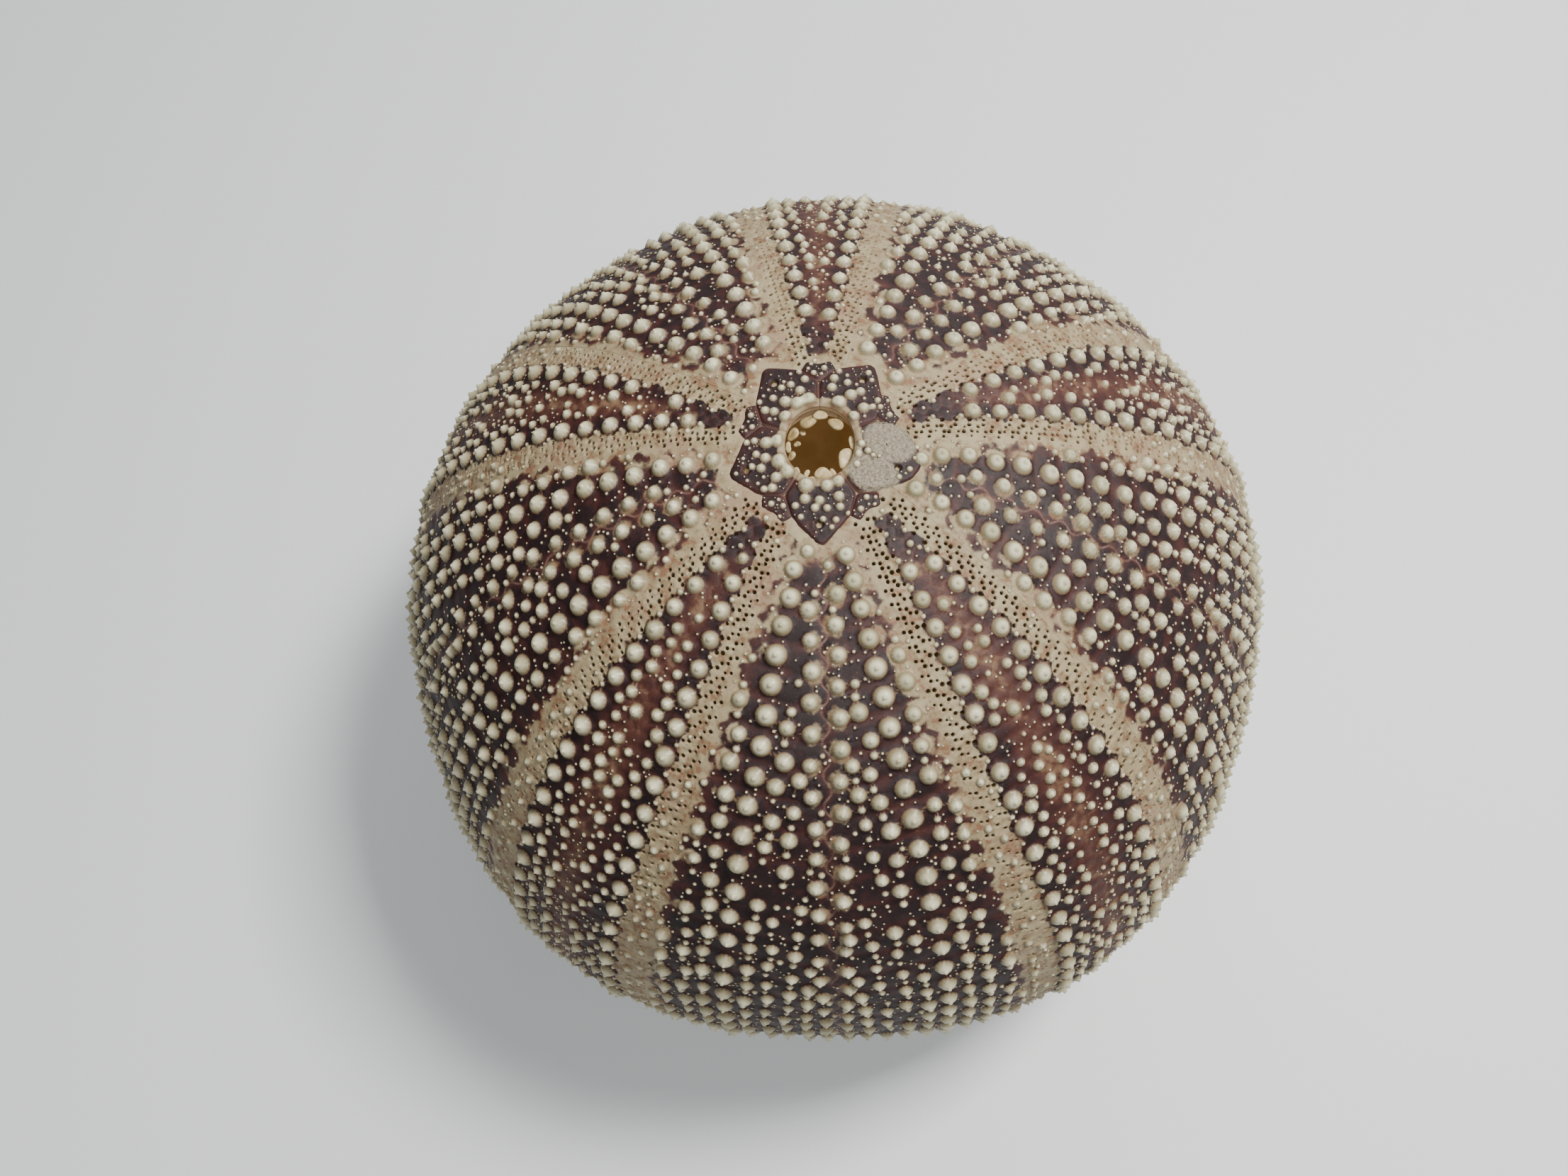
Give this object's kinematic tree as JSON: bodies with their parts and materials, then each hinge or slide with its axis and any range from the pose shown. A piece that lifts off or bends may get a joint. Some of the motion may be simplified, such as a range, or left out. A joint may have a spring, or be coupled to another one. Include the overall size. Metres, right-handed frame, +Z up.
{
  "type": "sea urchin shell",
  "caption": "Dried, spineless shell of a large globular sea urchin: a hollow five-rayed dome with a mouth opening below and a small opening on top.",
  "frame": {"origin": "on the shell's axis, at the level of the flat ring that it rests on", "axes": "+Z up the axis, from the mouth to the apical disc; -Y at the middle of the interambulacrum that faces the viewer, with the madreporite's interambulacrum at -18 degrees from +X"},
  "size_m": [0.1102, 0.11, 0.0798],
  "materials": {
    "shell": "satin"
  },
  "bodies": {
    "root": {"urchin_shell": "shell"}
  },
  "joints": []
}
